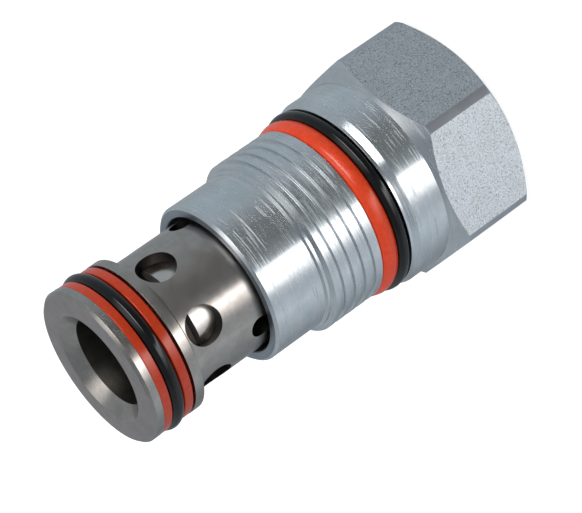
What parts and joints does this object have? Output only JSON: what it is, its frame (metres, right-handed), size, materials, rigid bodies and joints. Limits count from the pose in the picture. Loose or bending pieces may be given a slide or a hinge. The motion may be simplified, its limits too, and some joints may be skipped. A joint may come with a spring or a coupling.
{
  "type": "cartridge valve",
  "caption": "Screw-in hydraulic check valve cartridge: hex plug body with threaded band, sealed flange, floating drilled cage and spring-loaded poppet.",
  "frame": {"origin": "centre of the hex end face, the face furthest from the nose", "axes": "+Z along the valve axis from the hex end to the nose; one corner of the hex faces -Y and the flats at the sides face +X and -X"},
  "size_m": [0.038, 0.043, 0.079],
  "materials": {
    "zinc_steel": "turned steel with bright clear zinc plate",
    "cage_steel": "hardened steel, warm dark grey satin",
    "ground_steel": "hardened and ground, bright",
    "spring_steel": "drawn spring wire, dark bright",
    "black_rubber": "oiled nitrile, glossy",
    "orange_ring": "moulded polyurethane, satin to glossy"
  },
  "bodies": {
    "plug": {"plug_body": "zinc_steel", "body_backup_ring": "orange_ring", "body_o_ring": "black_rubber", "cage_retaining_ring": "spring_steel", "spring_shim": "spring_steel", "poppet_spring": "spring_steel"},
    "cage_set": {"cage": "cage_steel", "nose_backup_front": "orange_ring", "nose_o_ring": "black_rubber", "nose_backup_rear": "orange_ring"},
    "poppet": {"poppet": "ground_steel"}
  },
  "joints": [
    {"name": "cage_swivel", "type": "hinge", "parent": "plug", "child": "cage_set", "pos_m": [0, 0, 0.05], "axis": [0, 0, 1], "continuous": true},
    {"name": "poppet_lift", "type": "slide", "parent": "cage_set", "child": "poppet", "axis": [0, 0, -1], "range_m": [0, 0.005], "stiffness_N_per_m": 1000, "springref_m": -0.007, "deforming": ["poppet_spring"]}
  ]
}
